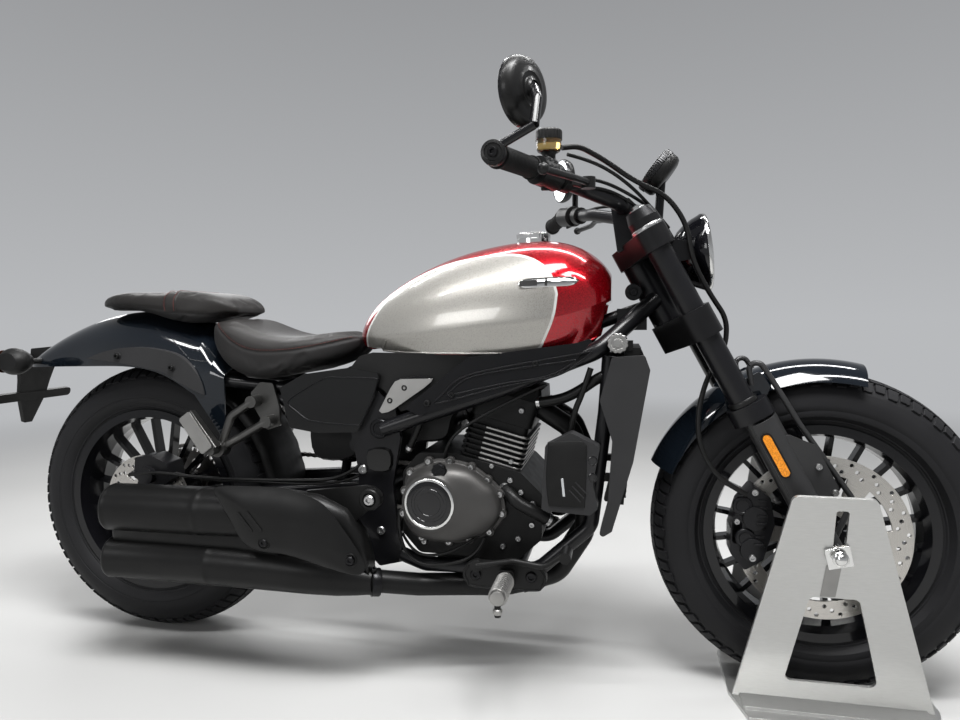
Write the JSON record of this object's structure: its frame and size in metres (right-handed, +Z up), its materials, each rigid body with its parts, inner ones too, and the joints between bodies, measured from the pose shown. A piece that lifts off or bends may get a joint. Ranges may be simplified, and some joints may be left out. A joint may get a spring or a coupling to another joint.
{
  "type": "cruiser motorcycle on a front display stand",
  "caption": "Cruiser motorcycle with a parallel-twin engine, teardrop tank, stepped seat and right-side silencer, its front axle in a leaning-plate display stand.",
  "frame": {"origin": "on the floor, below the middle of the machine's length", "axes": "+X forward, +Y to the rider's left, +Z up"},
  "size_m": [2.2249, 0.87, 1.168],
  "materials": {
    "black_wheel": "gloss black cast wheel",
    "tyre_rubber": "matte tyre rubber",
    "brake_steel": "ground stainless steel",
    "chain_steel": "oiled steel",
    "frame_black": "satin black paint",
    "axle_steel": "machined steel",
    "shock_black": "gloss black spring",
    "engine_black": "matte black engine paint",
    "cover_grey": "dark metallic grey",
    "radiator_black": "matte black core",
    "trim_grey": "matte dark grey moulding",
    "tank_red": "candy red with warm silver side panels",
    "polished_metal": "polished",
    "seat_leather": "dark brown-grey, stitched",
    "fender_black": "gloss blue-black paint",
    "tail_black": "matte black moulding",
    "lamp_amber": "amber lens in a black body",
    "exhaust_black": "matte heat-proof black",
    "peg_metal": "cast, with black parts",
    "caliper_black": "satin black",
    "clamp_grey": "satin grey casting",
    "lamp_glass": "gloss black bowl with a clear lens",
    "dial_grey": "grey rim with a dark glass",
    "grip_rubber": "ribbed rubber",
    "control_black": "black housings and levers",
    "reservoir_gold": "gold-tinted pot with a black cap",
    "mirror_black": "mirror glass in a black shell",
    "hose_rubber": "black hose",
    "stand_steel": "brushed silver plate"
  },
  "bodies": {
    "frame": {"main_frame": "frame_black", "pivot_plates": "frame_black", "lower_cradle": "frame_black", "rear_rails": "frame_black", "swingarm": "frame_black", "rear_axle": "axle_steel", "rear_shock": "shock_black", "crankcase": "engine_black", "cylinder_block": "engine_black", "cylinder_head": "engine_black", "clutch_cover": "cover_grey", "generator_cover": "engine_black", "radiator": "radiator_black", "radiator_covers": "trim_grey", "coolant_tank": "trim_grey", "fuel_tank": "tank_red", "filler_cap": "polished_metal", "rider_seat": "seat_leather", "passenger_seat": "seat_leather", "rear_fender": "fender_black", "fender_trims": "trim_grey", "tail_unit": "tail_black", "rear_indicators": "lamp_amber", "side_covers": "fender_black", "frame_covers": "cover_grey", "exhaust_pipes": "exhaust_black", "mufflers": "exhaust_black", "heat_shield": "trim_grey", "rider_pegs": "peg_metal", "passenger_pegs": "peg_metal", "foot_levers": "peg_metal", "rear_caliper": "caliper_black", "drive_chain": "chain_steel"},
    "steering": {"triple_clamps": "clamp_grey", "fork_tubes": "frame_black", "fork_lowers": "trim_grey", "front_axle": "axle_steel", "front_caliper": "caliper_black", "front_fender": "fender_black", "headlight": "lamp_glass", "dial": "dial_grey", "handlebar": "frame_black", "grips": "grip_rubber", "bar_controls": "control_black", "fluid_reservoir": "reservoir_gold", "mirrors": "mirror_black", "brake_hose": "hose_rubber", "stand_base": "stand_steel", "stand_plates": "stand_steel", "stand_bolts": "polished_metal"},
    "front_wheel": {"front_rim": "black_wheel", "front_tyre": "tyre_rubber", "front_disc": "brake_steel"},
    "rear_wheel": {"rear_rim": "black_wheel", "rear_tyre": "tyre_rubber", "rear_disc": "brake_steel", "rear_sprocket": "chain_steel"},
    "side_stand": {"side_stand": "frame_black"}
  },
  "joints": [
    {"name": "steering_head", "type": "hinge", "parent": "frame", "child": "steering", "pos_m": [0.743, 0, 0.2937], "axis": [-0.4695, 0, 0.8829], "range_deg": [-36, 36]},
    {"name": "front_wheel_spin", "type": "hinge", "parent": "steering", "child": "front_wheel", "pos_m": [0.79244, 0, 0.32], "axis": [0, 1, 0], "continuous": true},
    {"name": "rear_wheel_spin", "type": "hinge", "parent": "frame", "child": "rear_wheel", "pos_m": [-0.69247, 0, 0.323], "axis": [0, 1, 0], "continuous": true},
    {"name": "side_stand_fold", "type": "hinge", "parent": "frame", "child": "side_stand", "pos_m": [-0.08247, 0.128, 0.236], "axis": [0, -0.9659, -0.2588], "range_deg": [0, 95]}
  ]
}
